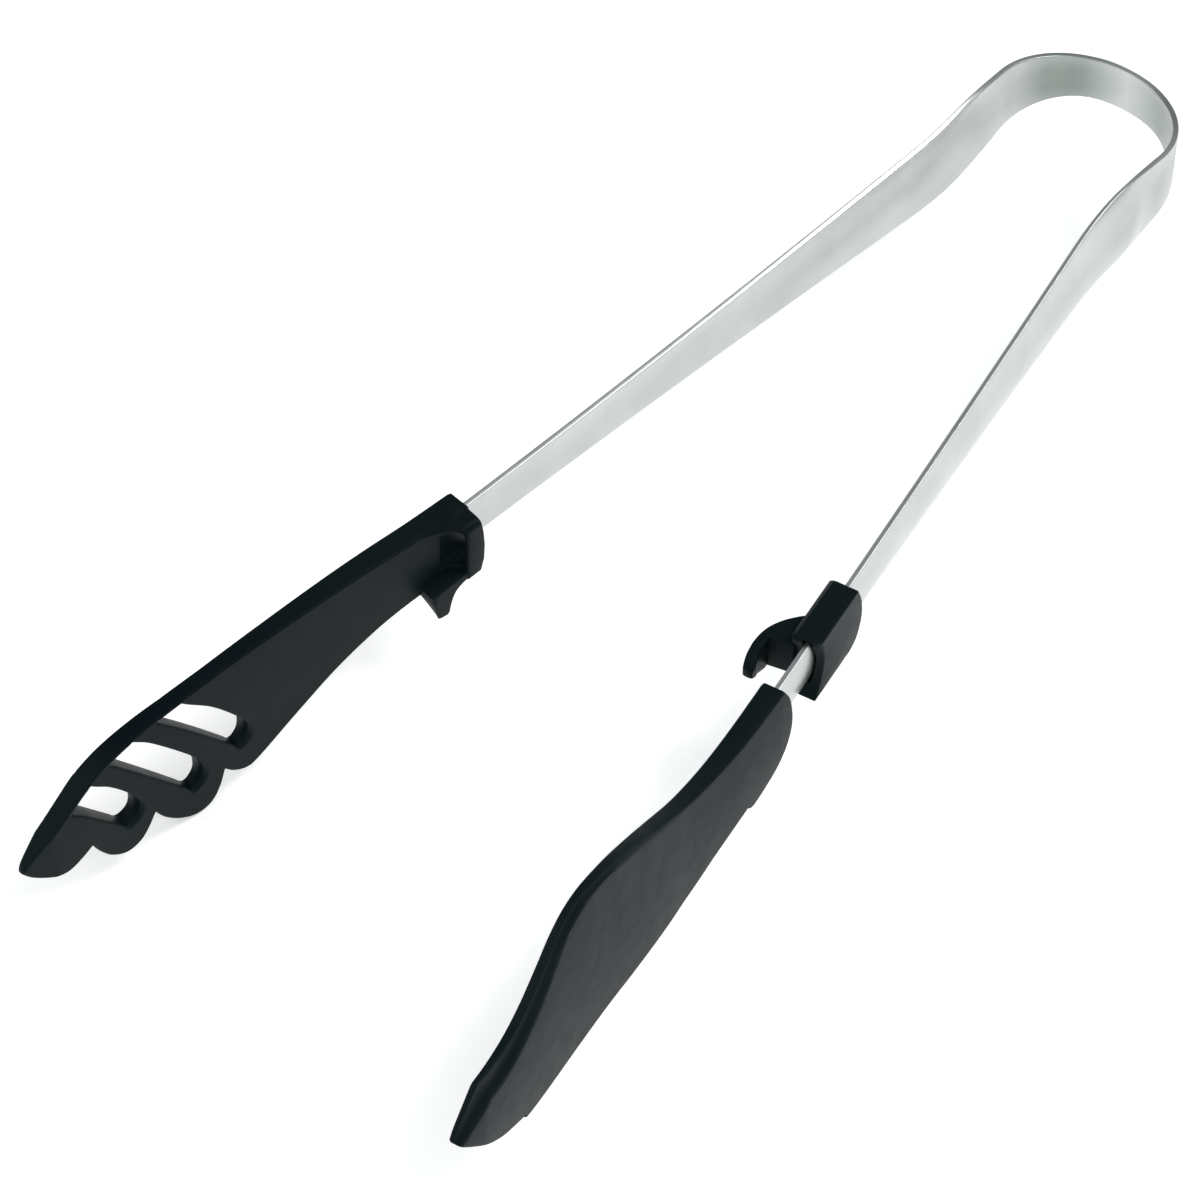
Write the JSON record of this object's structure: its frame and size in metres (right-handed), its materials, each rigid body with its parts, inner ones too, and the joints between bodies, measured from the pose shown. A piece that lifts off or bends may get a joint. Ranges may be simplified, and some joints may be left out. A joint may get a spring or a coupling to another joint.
{
  "type": "spring loaded kitchen tongs",
  "caption": "Spring loaded steel kitchen tongs with a slotted nylon head, a plain nylon blade and a sliding lock hook, lying open on their side.",
  "frame": {"origin": "inner face of the loop's crown, halfway across the strip, where the tongs hang on a hook", "axes": "+X out of the handle end, so the tips lie towards -X; +Y towards the slotted head's arm; +Z along the width of the strip, up when the tongs lie on their side"},
  "size_m": [0.2956, 0.111, 0.0556],
  "materials": {
    "stainless": "satin polish",
    "nylon": "smooth satin"
  },
  "bodies": {
    "spring": {"spring_loop": "stainless"},
    "slotted_side": {"slotted_arm": "stainless", "slotted_head": "nylon"},
    "blade_side": {"blade_arm": "stainless", "blade_head": "nylon"},
    "slider": {"lock_slider": "nylon"}
  },
  "joints": [
    {"name": "slotted_arm_flex", "type": "hinge", "parent": "spring", "child": "slotted_side", "pos_m": [-0.009, 0, 0], "axis": [0, 0, 1], "range_deg": [-3, 10.5], "stiffness_Nm_per_rad": 8, "deforming": ["spring_loop"]},
    {"name": "blade_arm_flex", "type": "hinge", "parent": "spring", "child": "blade_side", "pos_m": [-0.009, 0, 0], "axis": [0, 0, 1], "range_deg": [-10.5, 3], "stiffness_Nm_per_rad": 8, "deforming": ["spring_loop"]},
    {"name": "lock_slide", "type": "slide", "parent": "blade_side", "child": "slider", "axis": [-0.991, -0.134, 0], "range_m": [-0.012, 0.0093]}
  ],
  "couplings": [
    {"joint": "blade_arm_flex", "follows": "slotted_arm_flex", "ratio": -1}
  ]
}
